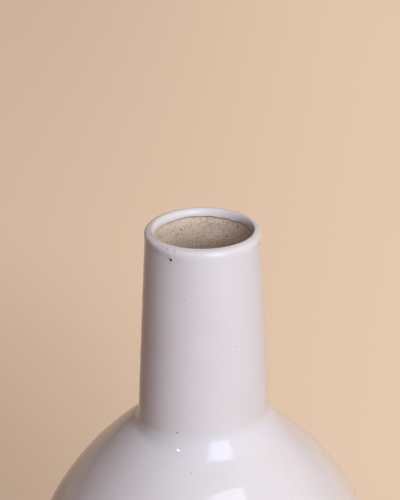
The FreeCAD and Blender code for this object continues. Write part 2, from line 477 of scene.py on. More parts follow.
def inner_edge_level(angles):
    """The level of the glaze's edge inside the mouth."""
    return HEIGHT - INNER_EDGE_DEPTH - bump_sum(angles, INNER_EDGE_WAVES) - drips(
        angles, INNER_EDGE_DRIPS)


def crest_drop(angles):
    """How far the lip's crest lies below its highest place."""
    highest = sum(wave[1] for wave in CREST_WAVES)
    return highest - bump_sum(angles, CREST_WAVES) + drips(angles, CREST_DIPS)


def foot_line_level(angles):
    """The level of the glaze's lower edge."""
    return GLAZE_FOOT_LINE + bump_sum(angles, FOOT_LINE_WAVES) - drips(angles, FOOT_LINE_DRIPS)


def crease_width(angles):
    """0 where the crease is tight, 1 where it is wide, and more where the neck flares."""
    away = way_round(angles, CREASE_WIDE_AZIMUTH) / math.radians(CREASE_WIDE_HALF_WIDTH)
    return np.exp(-away ** CREASE_WIDE_POWER) + drips(angles, CREASE_FLARES)


def sagged(angles, sections):
    """Outlines lowered next to the seam, where the shoulder sank."""
    radii, levels = np.moveaxis(sections, 2, 0)
    middle = neck_foot - shoulder_heading * SAG_FROM_SEAM
    amount = drips(angles, [(SAG_AZIMUTH, SAG, SAG_SPREAD)])
    sink = amount * near(radii, levels, middle[0], middle[1], SAG_WIDTH)
    return np.stack([radii, levels - sink], 2)


def bent(angles, sections):
    """Outlines with all that the hands bent: the uneven crest, the sag and the moved mouth.

    The mouth's move fades to the lip's outside and down the bore.
    """
    radii, levels = np.moveaxis(sections, 2, 0)
    lowered = np.stack([radii, levels - crest_share(levels) * crest_drop(angles)], 2)
    radii, levels = np.moveaxis(sagged(angles, lowered), 2, 0)
    high = smooth_step((levels - (HEIGHT - MOUTH_SHIFT_DEPTH)) / MOUTH_SHIFT_DEPTH)
    inner = smooth_step((LIP_RADIUS - radii) / LIP_THICKNESS)
    move = MOUTH_SHIFT * np.cos(angles - math.radians(MOUTH_SHIFT_AZIMUTH)) * high * inner
    return np.stack([radii + move, levels], 2)


def glaze_section(angle):
    """The glaze's outline at an azimuth, and how much of the wobble each of its rows takes."""
    dip = inner_edge_level(angle)
    inner_edge = at(MOUTH_RADIUS, dip)
    bead_centre = at(CLAY_MOUTH_RADIUS, dip)
    inner_end = at(CLAY_MOUTH_RADIUS, dip - GLAZE_THICKNESS)
    roll_foot = HEIGHT - going_round(angle, INNER_DOWN)

    width = crease_width(angle)
    up = between(CREASE_UP, width)
    down = between(CREASE_DOWN, width)
    crease_top = rim_point(neck_centre, neck_arc_radius, neck_foot - unit(neck_chord) * up)
    crease_foot = rim_point(shoulder_centre, shoulder_radius, neck_foot - shoulder_heading * down)
    neck_tangent = -quarter_turn(unit(crease_top - neck_centre))
    shoulder_tangent = -quarter_turn(unit(crease_foot - shoulder_centre))
    up_share = between(CREASE_UP_SHARES, min(width, 1))
    down_share = between(CREASE_DOWN_SHARES, min(width, 1))
    crease = bezier(crease_top, crease_top + neck_tangent * up * up_share,
                    crease_foot - shoulder_tangent * down * down_share, crease_foot,
                    steps_for(CREASE_UP[1] + CREASE_DOWN[1], CREASE_ROW))

    clay_low_radius = low_radius - GLAZE_THICKNESS
    low_bead = rim_at(low_centre, clay_low_radius, foot_line_level(angle))
    outer_edge = rim_point(low_centre, low_radius, low_bead)
    outer_end = meet(low_centre, clay_low_radius, low_bead, GLAZE_THICKNESS, DOWN)

    bead_steps = steps_for(GLAZE_THICKNESS * math.pi / 2, BEAD_ROW)
    front = np.concatenate(
        [arc(bead_centre, inner_end, inner_edge, bead_steps),
         line(inner_edge, at(MOUTH_RADIUS, roll_foot), steps_for(INNER_EDGE_DEPTH, EDGE_ROW))]
        + lip_edges(0, angle, crease_top, ROW)
        + [crease]
        + body_edges(0, crease_foot, outer_edge, ROW)
        + [arc(low_bead, outer_edge, outer_end, bead_steps)])
    hidden = (
        [line(inner_end, at(CLAY_MOUTH_RADIUS, roll_foot), SHORT_STEPS)]
        + lip_edges(GLAZE_THICKNESS, angle, coil_top, HIDDEN_ROW)
        + [arc(coil_centre, coil_top, coil_foot, HIDDEN_CREASE_STEPS)]
        + body_edges(GLAZE_THICKNESS, coil_foot, outer_end, HIDDEN_ROW))
    back = np.concatenate(hidden)[1:][::-1]
    outline = np.concatenate([front, outer_end[None], back])
    loose = np.zeros(len(outline))
    loose[:len(front)] = 1
    loose[:bead_steps] = np.linspace(0, 1, bead_steps)
    loose[len(front) - bead_steps:len(front)] = np.linspace(1, 0, bead_steps)
    return outline, loose


def glaze_skin():
    """The glaze coat, replacing the CAD one with waving edges and a hand-thrown surface."""
    pairs = [glaze_section(angle) for angle in azimuths]
    sections = np.stack([pair[0] for pair in pairs])
    loose = pairs[0][1]
    angles = azimuths[:, None]
    radii, levels = np.moveaxis(sections, 2, 0)
    offset = wobble(angles, levels) * loose * (1 - crest_share(levels))
    moved = bent(angles, sections + outward(sections) * offset[:, :, None])
    thing, used = lathe("glaze_skin", moved)
    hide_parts("glaze")

    ridge_shares = np.array([going_round(angle, RIDGE_SHARE) for angle in azimuths])
    ridge_radius = MOUTH_RADIUS + LIP_THICKNESS * ridge_shares
    ridge = near(radii, levels, ridge_radius[:, None] - BREAK_INSET, HEIGHT, BREAK_WIDTH)
    rust = near(radii, levels, LIP_RADIUS - RUST_INSET, HEIGHT - RUST_DEPTH, RUST_WIDTH)
    paint(thing, used, "broken_ridge", ridge * drips(angles, BREAK_PLACES))
    paint(thing, used, "rust", rust * drips(angles, RUST_PLACES))
    paint(thing, used, "pool", near(radii, levels, NECK_FOOT_RADIUS, SEAM_HEIGHT, POOL_WIDTH))
    return thing


glaze_coat = glaze_skin()

# Clay pieces


def spiral(distance, angles, pitch):
    """The depth share, 0 to 1, of a spiral groove at a distance along the section."""
    return np.sin(math.pi * distance / pitch - angles / 2) ** 2


def grooved(points, pitch, depth, fade):
    """An open edge at every azimuth, with a spiral groove pressed into it, fading at its ends."""
    run = np.concatenate([[0], np.cumsum(np.hypot(*np.diff(points, axis=0).T))])
    ends = smooth_step(np.minimum(run, run[-1] - run) / fade)
    press = depth * ends * spiral(run, azimuths[:, None], pitch)
    return points + leftwards(np.gradient(points, axis=0)) * press[:, :, None]


def plain(points):
    """The same edge at every azimuth."""
    return np.repeat(points[None], SEGMENTS, axis=0)


FADE = 4.0 * MM

# Painted shade: the clay is darkened next to the glaze's edge, over these widths inside the mouth and
# above the foot
EDGE_SHADE_WIDTH = 0.55 * MM
FOOT_SHADE_WIDTH = 1.1 * MM

# Painted shade: the bare clay is darker and browner deep in the bore, from this depth, over this
# length
DEEP_FROM = 6.0 * MM
DEEP_OVER = 12.0 * MM


def neck_clay():
    """The thrown neck under the glaze, with its finger groove winding up the bore."""
    foot_outer = seat_outer + slip_step
    foot_inner = seat_inner + slip_step
    seam = [line(coil_top, foot_outer, SEAM_STEPS), line(foot_outer, foot_inner, SEAM_STEPS)]
    outside = np.stack([
        np.concatenate(lip_edges(GLAZE_THICKNESS, angle, coil_top, HIDDEN_ROW) + seam)
        for angle in azimuths])
    land_foot = at(CLAY_MOUTH_RADIUS, HEIGHT - LIP_LAND)
    bore = line(foot_inner, land_foot, steps_for(length(land_foot - foot_inner), ROW))
    land = np.stack([
        line(land_foot, at(CLAY_MOUTH_RADIUS, HEIGHT - going_round(angle, INNER_DOWN)),
             steps_for(LIP_LAND, LAND_ROW)) for angle in azimuths])
    bore_edge = grooved(np.concatenate([bore, land_foot[None]]), -GROOVE_PITCH, -GROOVE_DEPTH, FADE)
    sections = np.concatenate([outside, bore_edge[:, :-1], land], axis=1)
    sections = bent(azimuths[:, None], sections)
    thing, used = lathe("neck_clay", sections)
    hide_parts("neck")
    levels = sections[:, :, 1]
    edge = inner_edge_level(azimuths)[:, None] - GLAZE_THICKNESS
    # Painted shade: the clay darkens next to the glaze's edge inside the mouth
    paint(thing, used, "glaze_edge_shade", np.exp(-((edge - levels) / EDGE_SHADE_WIDTH) ** 2))
    # Painted shade deep in the bore
    paint(thing, used, "deep_shade", smooth_step((HEIGHT - DEEP_FROM - levels) / DEEP_OVER))
    return thing


# Lines of the turning tool on the underside, and on the sides of the foot and the band above it
TOOL_PITCH = 2.2 * MM
TOOL_DEPTH = 0.09 * MM
TOOL_FADE = 2.0 * MM
SIDE_TOOL_PITCH = 1.5 * MM
SIDE_TOOL_DEPTH = 0.05 * MM
FOOT_BAND_WIDTH = 1.6 * MM


def belly_clay():
    """The thrown belly under the glaze: trimmed underside, bare foot band, finger grooves inside."""
    underside = line(at(0, FOOT_HEIGHT), underside_edge, steps_for(UNDERSIDE_RADIUS, TOOL_ROW))
    underside = np.concatenate([underside, underside_edge[None]])
    base = grooved(underside, TOOL_PITCH, TOOL_DEPTH, TOOL_FADE)
    base[:, 0, 0] = 0

    band_top_level = GLAZE_FOOT_LINE + FOOT_BAND_WIDTH
    band_top = rim_at(low_centre, low_radius - GLAZE_THICKNESS, band_top_level)
    band = arc(low_centre, underside_edge, band_top,
               steps_for(length(band_top - underside_edge), TOOL_ROW))
    band = np.concatenate([band, band_top[None]])
    band_edge = grooved(band, SIDE_TOOL_PITCH, SIDE_TOOL_DEPTH, FOOT_BAND_WIDTH)

    hidden = np.concatenate(body_edges(GLAZE_THICKNESS, coil_foot, band_top, HIDDEN_ROW))[::-1]

    inner_shoulder_radius = shoulder_radius - CAVITY_DEPTH
    collar_reach = NECK_BORE_RADIUS - shoulder_centre[0]
    collar_foot = at(NECK_BORE_RADIUS,
                     shoulder_centre[1] + math.sqrt(inner_shoulder_radius ** 2 - collar_reach ** 2))
    inner_low_radius = low_radius - CAVITY_DEPTH
    corner_centre = rim_at(low_centre, inner_low_radius - FLOOR_CORNER_RADIUS,
                           FLOOR_LEVEL + FLOOR_CORNER_RADIUS)
    corner_top = low_centre + unit(corner_centre - low_centre) * inner_low_radius
    corner_foot = at(corner_centre[0], FLOOR_LEVEL)
    cavity = np.concatenate(
        body_edges(CAVITY_DEPTH, collar_foot, corner_top, ROW)
        + [arc(corner_centre, corner_top, corner_foot, steps_for(FLOOR_CORNER_RADIUS, ROW)),
           line(corner_foot, at(0, FLOOR_LEVEL), steps_for(corner_foot[0], ROW)),
           at(0, FLOOR_LEVEL)[None]])
    inside = grooved(cavity, GROOVE_PITCH, GROOVE_DEPTH, FADE)
    inside[:, -1, 0] = 0

    covered = plain(np.concatenate([
        hidden,
        line(coil_foot, seat_outer, SEAM_STEPS),
        line(seat_outer, seat_inner, SEAM_STEPS),
        line(seat_inner, collar_foot, SHORT_STEPS),
    ]))
    sections = np.concatenate([base[:, :-1], band_edge[:, :-1], covered, inside], axis=1)
    sections = sagged(azimuths[:, None], sections)
    thing, used = lathe("belly_clay", sections)
    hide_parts("belly")
    levels = sections[:, :, 1]
    edge = foot_line_level(azimuths)[:, None] - GLAZE_THICKNESS
    # Painted shade: the clay darkens just above the glaze's lower edge
    shade = np.exp(-((edge - levels) / FOOT_SHADE_WIDTH) ** 2)
    paint(thing, used, "glaze_edge_shade", shade * (levels < band_top_level))
    # Painted shade over the whole cavity inside the belly
    deep_shade = np.zeros(sections.shape[:2])
    deep_shade[:, -len(cavity):] = 1
    paint(thing, used, "deep_shade", deep_shade)
    return thing


def coil_clay():
    """The coil worked into the corner between neck and shoulder, under the glaze."""
    corner = seat_outer + slip_step
    outline = np.concatenate([
        arc(coil_centre, coil_foot, coil_top, steps_for(COIL_RADIUS, CREASE_ROW)),
        line(coil_top, corner, steps_for(COIL_DEPTH, CREASE_ROW)),
        line(corner, seat_outer, SEAM_STEPS),
        line(seat_outer, coil_foot, steps_for(COIL_DEPTH, CREASE_ROW)),
    ])
    thing, _ = lathe("coil_clay", sagged(azimuths[:, None], plain(outline)))
    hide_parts("neck_coil")
    return thing


def rounded(corners, rounds, row):
    """A closed outline through corners that are rounded by given radii, with 0 for a sharp one."""
    ends = []
    for i, (corner, radius) in enumerate(zip(corners, rounds)):
        back = unit(corners[i - 1] - corner)
        ahead = unit(corners[(i + 1) % len(corners)] - corner)
        half = math.acos(back.dot(ahead)) / 2
        trim = radius / math.tan(half)
        centre = corner + unit(back + ahead) * (radius / math.sin(half))
        ends.append((centre, corner + back * trim, corner + ahead * trim))
    pieces = []
    for i, (centre, enter, leave) in enumerate(ends):
        if rounds[i] > 0:
            pieces.append(arc(centre, enter, leave, steps_for(rounds[i] * math.pi / 2, row)))
        following = ends[(i + 1) % len(ends)][1]
        pieces.append(line(leave, following, steps_for(length(following - leave), row)))
    return np.concatenate(pieces)


def foot_ring_clay():
    """The turned foot ring, with the fine lines of the turning tool on its sides."""
    top = FOOT_HEIGHT - SLIP_THICKNESS
    inner = FOOT_RADIUS - FOOT_WIDTH
    corners = [at(inner, 0), at(FOOT_RADIUS, 0), at(FOOT_RADIUS + FOOT_DRAFT, top),
               at(inner - FOOT_DRAFT, top)]
    outline = rounded(corners, [FOOT_EDGE_ROUND, FOOT_EDGE_ROUND, 0, 0], TOOL_ROW)
    sections = plain(outline)
    side = smooth_step((outline[:, 1] - FOOT_EDGE_ROUND / 2) / FOOT_EDGE_ROUND)
    side = side * smooth_step((top - outline[:, 1]) / FOOT_EDGE_ROUND)
    press = SIDE_TOOL_DEPTH * side * spiral(outline[:, 1], azimuths[:, None], SIDE_TOOL_PITCH)
    sections = sections + outward(sections) * press[:, :, None]
    thing, _ = lathe("foot_ring_clay", sections)
    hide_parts("foot_ring")
    return thing


neck_body = neck_clay()
belly_body = belly_clay()
coil_body = coil_clay()
foot_body = foot_ring_clay()

# Iron spots that burnt through the glaze, and coarse grains in the bare clay of the bore

SPOT_SPOKES = 24
SPOT_OVAL_SHARE = 0.10
SPOT_LUMP_SHARE = 0.07


def blister(name, places, carrier, profile):
    """Small rounded bodies on a carrier's surface.

    Each place is (point, direction to look from, half width, half height, lean). profile is a list
    of (share of the half size, rise over the surface in millimetres), from the middle outwards.
    """
    vertices = []
    faces = []
    for point, towards, half_width, half_height, lean in places:
        _, spot, normal, _ = carrier.closest_point_on_mesh(point)
        if normal.dot(towards) < 0:
            normal = -normal
        sideways = Vector((0, 0, 1)).cross(normal).normalized()
        upwards = normal.cross(sideways)
        middle = len(vertices)
        first = middle + 1
        rings = profile[1:]
        vertices.append(spot + normal * (profile[0][1] * MM))
        for share, rise in rings:
            for k in range(SPOT_SPOKES):
                turn = 2 * math.pi * k / SPOT_SPOKES
                swell = (1 + SPOT_OVAL_SHARE * math.cos(2 * turn + lean)
                         + SPOT_LUMP_SHARE * math.cos(3 * turn))
                along = math.cos(turn) * half_width * share * swell
                over = math.sin(turn) * half_height * share * swell
                leaning = along * math.cos(lean) - over * math.sin(lean)
                rising = along * math.sin(lean) + over * math.cos(lean)
                near_by = spot + sideways * leaning + upwards * rising
                _, on_surface, local, _ = carrier.closest_point_on_mesh(near_by)
                if local.dot(normal) < 0:
                    local = -local
                vertices.append(on_surface + local * (rise * MM))
        for k in range(SPOT_SPOKES):
            after = (k + 1) % SPOT_SPOKES
            faces.append([middle, first + k, first + after])
            for ring in range(len(rings) - 1):
                low = first + ring * SPOT_SPOKES
                high = low + SPOT_SPOKES
                faces.append([low + k, high + k, high + after, low + after])
        last = first + (len(rings) - 1) * SPOT_SPOKES
        faces.append(list(range(last, last + SPOT_SPOKES))[::-1])
    thing = new_object(name, np.array(vertices), faces)
    return thing


# Each spot as (azimuth, level, radius there, half width, half height, lean), with its lengths in
# millimetres, as in the lists after it
LARGE_SPOT = (-122.4, 225.45, 22.5, 0.76, 1.06, 0.5)
SMALL_SPOTS = [
    (-113.7, 154.0, 26.1, 0.40, 0.36, 0.0),
    (-98.4, 142.0, 34.3, 0.20, 0.18, 0.0),
    (-107.4, 210.7, 23.3, 0.20, 0.20, 0.0),
    (-59.5, 189.9, 24.4, 0.20, 0.20, 0.0),
    (31.0, 196.0, 24.0, 0.42, 0.50, 0.4),
    (74.0, 120.0, 56.0, 0.45, 0.40, 0.0),
    (128.0, 66.0, 74.0, 0.35, 0.42, 0.2),
    (176.0, 170.0, 25.2, 0.30, 0.34, 0.0),
    (211.0, 98.0, 67.0, 0.40, 0.36, 0.3),
    (342.0, 78.0, 73.0, 0.36, 0.30, 0.0),
    (287.0, 44.0, 72.0, 0.42, 0.38, 0.1),
]

# From the middle outwards, as (share of the half size, rise over the surface)
SPOT_PROFILE = [(0, 0.10), (0.45, 0.09), (0.8, 0.05), (1.0, -0.04)]
RIM_PROFILE = [(0, 0.01), (0.5, 0.01), (0.72, 0.07), (0.9, 0.12),
               (1.15, 0.09), (1.5, 0.02), (1.75, -0.04)]
FLAT_PROFILE = [(0, 0.03), (0.5, 0.03), (0.85, 0.015), (1.0, -0.04)]
# Each grain as (azimuth, level, half size)
GRAINS = [
    (115.3, 221.8, 0.33), (119.4, 220.0, 0.36), (126.7, 222.3, 0.28),
    (61.8, 218.9, 0.42), (47.3, 224.5, 0.36), (60.9, 225.0, 0.30),
    (88.0, 221.2, 0.20), (96.0, 217.5, 0.22), (152.0, 223.4, 0.24),
    (203.0, 221.0, 0.30), (251.0, 222.5, 0.33), (305.0, 219.0, 0.28),
    (347.0, 223.0, 0.26), (23.0, 217.0, 0.30),
]


def spot_places(spots, side):
    """Where spots lie and the direction to look at them from, with side 1 outwards and -1 inwards."""
    found = []
    for degrees, level, radius, half_width, half_height, lean in spots:
        angle = math.radians(degrees)
        away = Vector((math.cos(angle), math.sin(angle), 0))
        point = away * (radius * MM) + Vector((0, 0, level * MM))
        found.append((point, away * side, half_width * MM, half_height * MM, lean))
    return found


large_spot = spot_places([LARGE_SPOT], 1)
spot_rim = blister("iron_spot_rim", large_spot, glaze_coat, RIM_PROFILE)
spot_core = blister("iron_spot_large", large_spot, glaze_coat, SPOT_PROFILE)
small_spots = blister("iron_spots_small", spot_places(SMALL_SPOTS, 1), glaze_coat, FLAT_PROFILE)
grain_spots = [(degrees, level, CLAY_MOUTH_RADIUS / MM, half_size, half_size, 0)
               for degrees, level, half_size in GRAINS]
grains = blister("clay_grains", spot_places(grain_spots, -1), neck_body, FLAT_PROFILE)

# Materials

PLAIN_DETAIL = 1.0
SOFT_DETAIL = 2.0
EVEN_ROUGHNESS = 0.5

# Where a Mix node has its colours
COLOUR_A = 6
COLOUR_B = 7
COLOUR_MIXED = 2


class Tree:
    """A material's or the world's node tree, with short calls to fill it."""

    def __init__(self, owner):
        owner.use_nodes = True
        self.tree = owner.node_tree
        self.tree.nodes.clear()

    def node(self, kind, settings, *inputs, **named):
        """A node with its settings, and with its inputs set or linked, in order or by name.

        Underscores in a name stand for spaces.
        """
        made = self.tree.nodes.new("ShaderNode" + kind)
        for name, value in settings.items():
            setattr(made, name, value)
        for socket, value in zip(made.inputs, inputs):
            self.feed(socket, value)
        for name, value in named.items():
            self.feed(made.inputs[name.replace("_", " ")], value)
        return made

    def feed(self, socket, value):
        if isinstance(value, bpy.types.NodeSocket):
            self.tree.links.new(value, socket)
        else:
            socket.default_value = value

    def math(self, operation, first, second):
        return self.node("Math", {"operation": operation}, first, second).outputs[0]

    def blend(self, share, first, second, blend_type="MIX"):
        """A colour between two others, or with them mixed in another way."""
        made = self.node("Mix", {"data_type": "RGBA", "blend_type": blend_type}, share)
        self.feed(made.inputs[COLOUR_A], first)
        self.feed(made.inputs[COLOUR_B], second)
        return made.outputs[COLOUR_MIXED]

    def over(self, base, mask, share, tint):
        """A colour laid over another one, by a share where the mask is 1."""
        return self.blend(self.math("MULTIPLY", mask, share), base, tint)

    def ramp(self, value, reach):
        """0 at the reach's first value, 1 at its second one, and smooth between."""
        return self.node("MapRange", {"interpolation_type": "SMOOTHSTEP"}, value, *reach).outputs[0]

    def noise(self, place, size, detail=SOFT_DETAIL, roughness=EVEN_ROUGHNESS):
        """Noise whose features are about a size across."""
        return self.node("TexNoise", {}, Vector=place, Scale=1 / size, Detail=detail,
                         Roughness=roughness).outputs["Fac"]

    def cells(self, place, size):
        """The distance to the nearest of points about a size apart, in sizes, and its colour."""
        made = self.node("TexVoronoi", {}, Vector=place, Scale=1 / size)
        return made.outputs["Distance"], made.outputs["Color"]

    def attribute(self, name):
        return self.node("Attribute", {"attribute_name": name}).outputs["Fac"]

    def place(self):
        return self.node("TexCoord", {}).outputs["Object"]

    def bump(self, height, distance):
        return self.node("Bump", {}, Strength=1.0, Distance=distance, Height=height).outputs["Normal"]

    def surface(self, **inputs):
        self.node("OutputMaterial", {}, self.node("BsdfPrincipled", {}, **inputs).outputs[0])


def colour(red, green, blue):
    return (red, green, blue, 1.0)


def new_material(name):
    made = bpy.data.materials.new(name)
    return made, Tree(made)


def put(material, *things):
    for thing in things:
        thing.data.materials.clear()
        thing.data.materials.append(material)


GLAZE_WHITE = colour(0.81, 0.76, 0.79)
GLAZE_WARM = colour(0.78, 0.70, 0.69)
GLAZE_POOL = colour(0.80, 0.77, 0.81)
GLAZE_THIN = colour(0.66, 0.51, 0.41)
GLAZE_RUST = colour(0.30, 0.16, 0.09)
GLAZE_FLECK = colour(0.42, 0.33, 0.30)
BLACK = colour(0, 0, 0)

# Each REACH is where a pattern starts to show and where it shows in full, and each SHARE how strongly
MOTTLE_SIZE = 14.0 * MM
MOTTLE_DETAIL = 3.0
MOTTLE_ROUGHNESS = 0.6
MOTTLE_REACH = (0.35, 0.75)
MOTTLE_SHARE = 0.35
BREAK_SIZE = 0.9 * MM
BREAK_REACH = (0.25, 0.6)
BREAK_SHARE = 0.85
RUST_SIZE = 0.8 * MM
RUST_REACH = (0.52, 0.66)
RUST_SHARE = 0.6
FLECK_SIZE = 7.0 * MM
FLECK_REACH = (0.035, 0.014)
FLECK_SHARE = 0.5
SHEEN_SIZE = 7.0 * MM
SHEEN_ROUGHNESS = (0.02, 0.05)
PEEL_SIZE = 2.2 * MM
PEEL_DEPTH = 0.0025 * MM
GLAZE_IOR = 1.5


def glaze_material():
    """Glossy milky white glaze, thin and buff on the lip's ridge, with rust marks and faint flecks."""
    material, tree = new_material("white_glaze")
    place = tree.place()
    mottle = tree.noise(place, MOTTLE_SIZE, MOTTLE_DETAIL, MOTTLE_ROUGHNESS)
    base = tree.over(GLAZE_WHITE, tree.ramp(mottle, MOTTLE_REACH), MOTTLE_SHARE, GLAZE_WARM)
    base = tree.blend(tree.attribute("pool"), base, GLAZE_POOL)
    thin = tree.ramp(tree.noise(place, BREAK_SIZE), BREAK_REACH)
    thin = tree.math("MULTIPLY", tree.attribute("broken_ridge"), thin)
    base = tree.over(base, thin, BREAK_SHARE, GLAZE_THIN)
    rust = tree.ramp(tree.noise(place, RUST_SIZE, PLAIN_DETAIL), RUST_REACH)
    rust = tree.math("MULTIPLY", tree.attribute("rust"), rust)
    base = tree.over(base, rust, RUST_SHARE, GLAZE_RUST)
    distance, _ = tree.cells(place, FLECK_SIZE)
    base = tree.over(base, tree.ramp(distance, FLECK_REACH), FLECK_SHARE, GLAZE_FLECK)
    rough = tree.node("MapRange", {}, tree.noise(place, SHEEN_SIZE), 0, 1, *SHEEN_ROUGHNESS)
    normal = tree.bump(tree.noise(place, PEEL_SIZE, PLAIN_DETAIL), PEEL_DEPTH)
    tree.surface(Base_Color=base, Roughness=rough.outputs["Result"], IOR=GLAZE_IOR, Normal=normal)
    return material


CLAY = colour(0.74, 0.61, 0.50)
CLAY_LIGHT = colour(0.80, 0.70, 0.58)
CLAY_DARK = colour(0.40, 0.31, 0.23)
CLAY_PINK = colour(0.64, 0.47, 0.36)
# CLAY_EDGE_SHADE is painted shade next to the glaze's edge
CLAY_EDGE_SHADE = colour(0.25, 0.16, 0.11)
# CLAY_DEEP_SHADE is painted shade deep in the bore and inside the belly
CLAY_DEEP_SHADE = colour(0.40, 0.26, 0.18)
PATCH_SIZE = 12.0 * MM
PATCH_REACH = (0.5, 0.75)
PATCH_SHARE = 0.6
DEEP_SHADE_SHARE = 0.8
GRAIN_SIZE = 0.75 * MM
GRAIN_ROUGHNESS = 0.7
LIGHT_REACH = (0.54, 0.70)
LIGHT_SHARE = 0.6
DARK_REACH = (0.46, 0.30)
DARK_SHARE = 0.75
GRIT_SIZE = 1.9 * MM
GRIT_REACH = (0.22, 0.12)
CHOICE_REACH = (0.52, 0.64)
GRIT_SHARE = 0.8
EDGE_SHADE_SHARE = 0.75
CLAY_BUMP = 0.06 * MM
CLAY_ROUGHNESS = 0.85


def clay_material():
    """Bare fired stoneware: matt, speckled with light and dark grains, with painted shade next to the
    glaze and deep inside.
    """
    material, tree = new_material("bare_clay")
    place = tree.place()
    patch = tree.ramp(tree.noise(place, PATCH_SIZE), PATCH_REACH)
    base = tree.over(CLAY, patch, PATCH_SHARE, CLAY_PINK)
    # Painted shade deep inside
    base = tree.over(base, tree.attribute("deep_shade"), DEEP_SHADE_SHARE, CLAY_DEEP_SHADE)
    fine = tree.noise(place, GRAIN_SIZE, PLAIN_DETAIL, GRAIN_ROUGHNESS)
    base = tree.over(base, tree.ramp(fine, LIGHT_REACH), LIGHT_SHARE, CLAY_LIGHT)
    base = tree.over(base, tree.ramp(fine, DARK_REACH), DARK_SHARE, CLAY_DARK)
    distance, cell = tree.cells(place, GRIT_SIZE)
    grit = tree.math("MULTIPLY", tree.ramp(distance, GRIT_REACH), tree.ramp(cell, CHOICE_REACH))
    base = tree.over(base, grit, GRIT_SHARE, CLAY_DARK)
    # Painted shade along the glaze's edge
    base = tree.over(base, tree.attribute("glaze_edge_shade"), EDGE_SHADE_SHARE, CLAY_EDGE_SHADE)
    tree.surface(Base_Color=base, Roughness=CLAY_ROUGHNESS, Normal=tree.bump(fine, CLAY_BUMP))
    return material


SLIP = colour(0.47, 0.39, 0.32)
SLIP_DARK = colour(0.38, 0.30, 0.24)
SLIP_GRAIN = 0.5 * MM
SLIP_REACH = (0.4, 0.65)
SLIP_BUMP = 0.03 * MM
SLIP_ROUGHNESS = 0.8


def slip_material():
    """Bare fired slip: finer and a little darker than the clay."""
    material, tree = new_material("bare_slip")
    fine = tree.noise(tree.place(), SLIP_GRAIN)
    base = tree.blend(tree.ramp(fine, SLIP_REACH), SLIP_DARK, SLIP)
    tree.surface(Base_Color=base, Roughness=SLIP_ROUGHNESS, Normal=tree.bump(fine, SLIP_BUMP))
    return material


IRON = colour(0.012, 0.010, 0.010)
IRON_BROWN = colour(0.035, 0.018, 0.012)
IRON_FAINT = colour(0.20, 0.15, 0.13)
IRON_ROUGHNESS = 0.22
IRON_REACH = (0.4, 0.7)
BLACK_IRON_SIZE = 0.5 * MM
BROWN_IRON_SIZE = 0.4 * MM


def iron_material(name, dark, light, size):
    """Melted iron in the glaze, slightly uneven in colour."""
    material, tree = new_material(name)
    shade = tree.ramp(tree.noise(tree.place(), size, PLAIN_DETAIL), IRON_REACH)
    tree.surface(Base_Color=tree.blend(shade, dark, light), Roughness=IRON_ROUGHNESS)
    return material


white_glaze = glaze_material()
bare_clay = clay_material()
bare_slip = slip_material()
black_iron = iron_material("black_iron", IRON, IRON_BROWN, BLACK_IRON_SIZE)
brown_iron = iron_material("brown_iron", IRON_FAINT, IRON_BROWN, BROWN_IRON_SIZE)

put(white_glaze, glaze_coat, spot_rim)
put(bare_clay, neck_body, belly_body, coil_body, foot_body)
put(black_iron, spot_core)
put(brown_iron, small_spots, grains)
nodes = frame["nodes"]
put(white_glaze, nodes["glaze"])
put(bare_clay, nodes["neck"], nodes["belly"], nodes["foot_ring"], nodes["neck_coil"])
put(bare_slip, nodes["neck_slip"], nodes["foot_slip"])


# Floor, a warm backdrop whose glow carries painted light falloff and painted shade

# The glow's rise from left to right is painted light falloff across the floor
FLOOR_GLOW_LEFT = colour(0.526, 0.379, 0.282)
FLOOR_GLOW_RIGHT = colour(0.666, 0.499, 0.371)
FLOOR_SHADED = colour(0.20, 0.15, 0.11)
FLOOR_DIM = colour(0.24, 0.15, 0.10)
FLOOR_RADIUS = 9.0
FLOOR_SIDES = 96
FLOOR_ROUGHNESS = 0.9
GLOW_REACH = (-0.24, 0.24)
# The paper lies in soft shade on the left: where, how far it reaches, and how deep it is
SHADE_PLACE = Vector((-0.39, 0.145, 0))
SHADE_REACH = (0.49, 0.0)
SHADE_SHARE = 0.6


def seen_share(tree):
    """1 for rays that show the background: from the camera, a gloss or a transmission."""
    rays = tree.node("LightPath", {}).outputs
    seen = tree.math("MAXIMUM", rays["Is Camera Ray"], rays["Is Glossy Ray"])
    return tree.math("MAXIMUM", seen, rays["Is Transmission Ray"])


def floor():
    """A round floor that is clear from below, so that the underside can be looked at."""
    angles = np.linspace(0, 2 * math.pi, FLOOR_SIDES, endpoint=False)
    vertices = [(FLOOR_RADIUS * math.cos(a), FLOOR_RADIUS * math.sin(a), 0) for a in angles]
    mesh = bpy.data.meshes.new("floor")
    mesh.from_pydata(vertices, [], [list(range(FLOOR_SIDES))])
    thing = link("floor", mesh)

    material, tree = new_material("floor_paper")
    seen = seen_share(tree)
    paper = tree.node("BsdfDiffuse", {}, tree.blend(seen, FLOOR_DIM, FLOOR_SHADED), FLOOR_ROUGHNESS)
    place = tree.place()
    across = tree.node("SeparateXYZ", {}, place).outputs["X"]
    lit_colour = tree.blend(tree.ramp(across, GLOW_REACH), FLOOR_GLOW_LEFT, FLOOR_GLOW_RIGHT)
    apart = tree.node("VectorMath", {"operation": "DISTANCE"}, place, SHADE_PLACE)
    shade = tree.ramp(apart.outputs["Value"], SHADE_REACH)
    glow_colour = tree.over(lit_colour, shade, SHADE_SHARE, BLACK)
    glow = tree.node("Emission", {}, glow_colour, seen)
    lit = tree.node("AddShader", {}, paper.outputs[0], glow.outputs[0])
    clear = tree.node("BsdfTransparent", {})
    under = tree.node("NewGeometry", {}).outputs["Backfacing"]
    mix = tree.node("MixShader", {}, under, lit.outputs[0], clear.outputs[0])
    tree.node("OutputMaterial", {}, mix.outputs[0])
    put(material, thing)


floor()

# World: plain background where it shows, and soft light from a few sides

